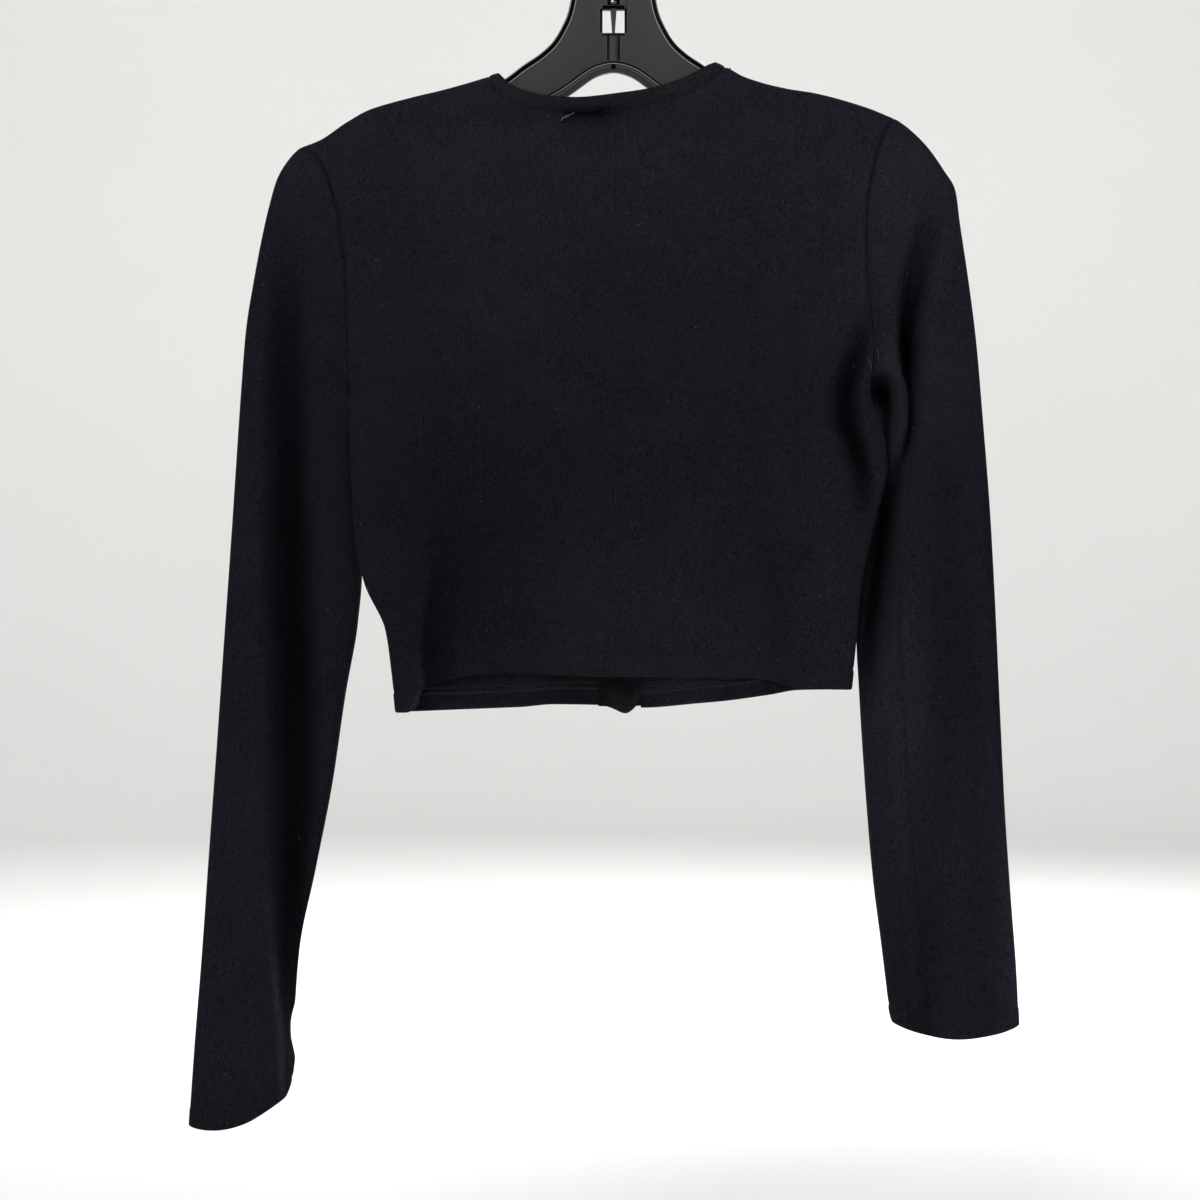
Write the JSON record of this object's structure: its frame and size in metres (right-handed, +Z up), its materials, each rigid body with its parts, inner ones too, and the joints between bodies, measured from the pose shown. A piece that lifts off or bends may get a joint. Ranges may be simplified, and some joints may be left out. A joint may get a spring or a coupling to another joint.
{
  "type": "cropped cardigan on a hanger",
  "caption": "Fine-knit long-sleeve cropped cardigan with a V front, narrow neckband and button placket, hanging flat on a contoured moulded plastic hanger with a wire hook.",
  "frame": {"origin": "the hook's hang point: the top of the hook's inside, on the hanger's centreline", "axes": "+Z up; -Y towards the garment's back, +Y towards its buttoned front; +X towards the wearer's right"},
  "size_m": [0.5281, 0.0432, 0.8167],
  "materials": {
    "knit": "fine matte knit, near black with a blue cast",
    "knit_band": "the same knit, folded and pressed",
    "button": "polished black",
    "hanger_plastic": "satin moulded black",
    "steel": "plated wire"
  },
  "bodies": {
    "root": {"back": "knit", "front_left": "knit", "front_right": "knit", "sleeve_left": "knit", "sleeve_right": "knit", "neckband": "knit_band", "button_band": "knit_band", "buttonhole_band": "knit_band", "button_1": "button", "button_2": "button", "button_3": "button", "button_4": "button", "button_5": "button", "hanger_body": "hanger_plastic", "hanger_hook": "steel"}
  },
  "joints": []
}
